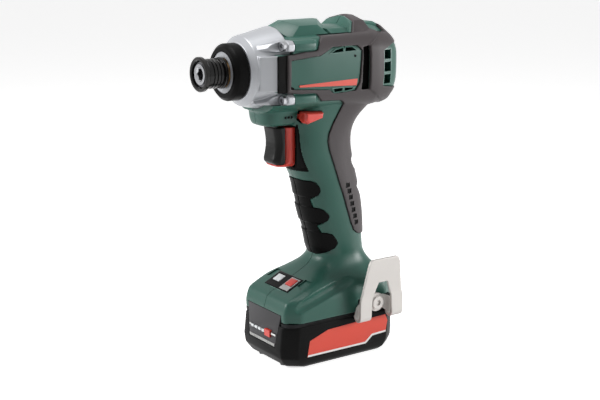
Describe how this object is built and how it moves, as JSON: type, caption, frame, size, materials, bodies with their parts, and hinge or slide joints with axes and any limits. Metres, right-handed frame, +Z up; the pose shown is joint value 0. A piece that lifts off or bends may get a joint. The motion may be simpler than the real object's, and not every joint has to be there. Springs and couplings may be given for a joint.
{
  "type": "cordless impact driver",
  "caption": "Compact pistol-grip impact driver: metal hammer case with a hex bit sleeve, ribbed soft grip, trigger, belt hook and a slide-on battery pack as its foot.",
  "frame": {"origin": "middle of the battery pack's flat foot, on the tool's mid-plane", "axes": "+X forward along the spindle towards the bit, +Y to the tool's left, +Z up"},
  "size_m": [0.134, 0.067, 0.2129],
  "materials": {
    "green_plastic": "fine moulded grain, satin",
    "soft_grip": "soft-touch overmould",
    "finger_rubber": "matt",
    "cast_metal": "bead-blasted die casting",
    "steel": "ground",
    "dark_steel": "blackened",
    "black_steel": "black oxide, turned",
    "bronze": "sintered",
    "lamination": "stacked sheets",
    "copper": "enamelled wire",
    "board": "solder mask",
    "black_plastic": "satin",
    "contact": "bright",
    "lens": "clear-white",
    "hook_steel": "zinc-plated sheet",
    "red_plastic": "moulded",
    "pack_plastic": "fine moulded grain",
    "cell_wrap": "shrink sleeve"
  },
  "bodies": {
    "tool": {"housing_left": "green_plastic", "housing_right": "green_plastic", "overmould_left": "soft_grip", "overmould_right": "soft_grip", "finger_grip_left": "finger_rubber", "finger_grip_right": "finger_rubber", "gear_housing": "cast_metal", "nose_ring": "finger_rubber", "gear_housing_screws": "steel", "housing_screws": "dark_steel", "anvil_bush": "bronze", "ring_gear": "steel", "motor_plate": "cast_metal", "front_bearing": "steel", "spindle_bearing": "steel", "stator_core": "lamination", "stator_coils": "copper", "sensor_board": "board", "rear_bearing": "steel", "trigger_switch": "black_plastic", "control_board": "board", "terminal_block": "black_plastic", "terminal_blades": "contact", "control_panel": "black_plastic", "light_lens": "lens", "hook_brackets": "black_plastic", "belt_hook": "hook_steel", "hook_screw": "dark_steel"},
    "rotor": {"motor_shaft": "steel", "rotor_core": "lamination", "cooling_fan": "black_plastic"},
    "spindle_group": {"spindle": "steel", "planet_pins": "steel", "cam_balls": "steel", "hammer_spring": "dark_steel"},
    "planet_1": {"planet_gear_1": "steel"},
    "planet_2": {"planet_gear_2": "steel"},
    "planet_3": {"planet_gear_3": "steel"},
    "hammer_group": {"hammer": "dark_steel"},
    "anvil_group": {"anvil": "steel", "bit_balls": "steel", "sleeve_spring": "steel", "sleeve_washer": "steel", "snap_ring": "dark_steel"},
    "sleeve": {"bit_sleeve": "black_steel"},
    "trigger_group": {"trigger": "black_plastic", "trigger_frame": "red_plastic"},
    "lever": {"direction_lever": "red_plastic"},
    "mode_key": {"mode_button": "red_plastic"},
    "pack": {"pack_case": "pack_plastic", "pack_lid": "pack_plastic", "battery_cells": "cell_wrap", "cell_tabs": "steel", "pack_board": "board", "pack_terminals": "contact", "pack_screws": "dark_steel"},
    "release": {"release_plate": "pack_plastic", "charge_lights": "lens"},
    "gauge_key": {"charge_button": "red_plastic"}
  },
  "joints": [
    {"name": "motor_spin", "type": "hinge", "parent": "tool", "child": "rotor", "pos_m": [-0.013, 0, 0.1835], "axis": [1, 0, 0], "continuous": true},
    {"name": "spindle_spin", "type": "hinge", "parent": "tool", "child": "spindle_group", "pos_m": [0.016, 0, 0.1835], "axis": [1, 0, 0], "continuous": true},
    {"name": "anvil_spin", "type": "hinge", "parent": "tool", "child": "anvil_group", "pos_m": [0.06, 0, 0.1835], "axis": [1, 0, 0], "continuous": true},
    {"name": "planet_1_spin", "type": "hinge", "parent": "spindle_group", "child": "planet_1", "pos_m": [0.0103, 0.00877, 0.17844], "axis": [1, 0, 0], "continuous": true},
    {"name": "planet_2_spin", "type": "hinge", "parent": "spindle_group", "child": "planet_2", "pos_m": [0.0103, 0, 0.19362], "axis": [1, 0, 0], "continuous": true},
    {"name": "planet_3_spin", "type": "hinge", "parent": "spindle_group", "child": "planet_3", "pos_m": [0.0103, -0.00877, 0.17844], "axis": [1, 0, 0], "continuous": true},
    {"name": "hammer_travel", "type": "slide", "parent": "spindle_group", "child": "hammer_group", "axis": [-1, 0, 0], "range_m": [0, 0.005], "stiffness_N_per_m": 3000, "springref_m": -0.004, "deforming": ["hammer_spring"]},
    {"name": "sleeve_pull", "type": "slide", "parent": "anvil_group", "child": "sleeve", "axis": [1, 0, 0], "range_m": [0, 0.0035], "stiffness_N_per_m": 800, "springref_m": -0.003, "deforming": ["sleeve_spring"]},
    {"name": "trigger_pull", "type": "slide", "parent": "tool", "child": "trigger_group", "axis": [-1, 0, 0], "range_m": [0, 0.0065], "stiffness_N_per_m": 700, "springref_m": -0.004},
    {"name": "direction_shift", "type": "slide", "parent": "tool", "child": "lever", "axis": [0, 1, 0], "range_m": [-0.0025, 0.0025]},
    {"name": "mode_press", "type": "slide", "parent": "tool", "child": "mode_key", "axis": [-0.4384, 0, -0.8988], "range_m": [0, 0.0008], "stiffness_N_per_m": 400, "springref_m": -0.001},
    {"name": "pack_slide", "type": "slide", "parent": "tool", "child": "pack", "axis": [1, 0, 0], "range_m": [0, 0.085]},
    {"name": "release_press", "type": "slide", "parent": "pack", "child": "release", "axis": [-1, 0, 0], "range_m": [0, 0.002], "stiffness_N_per_m": 600, "springref_m": -0.002},
    {"name": "gauge_press", "type": "slide", "parent": "release", "child": "gauge_key", "axis": [-1, 0, 0], "range_m": [0, 0.0006], "stiffness_N_per_m": 300, "springref_m": -0.001}
  ],
  "couplings": [
    {"joint": "spindle_spin", "follows": "motor_spin", "ratio": 0.16667},
    {"joint": "anvil_spin", "follows": "motor_spin", "ratio": 0.16667},
    {"joint": "planet_1_spin", "follows": "motor_spin", "ratio": -0.41667},
    {"joint": "planet_2_spin", "follows": "motor_spin", "ratio": -0.41667},
    {"joint": "planet_3_spin", "follows": "motor_spin", "ratio": -0.41667}
  ]
}
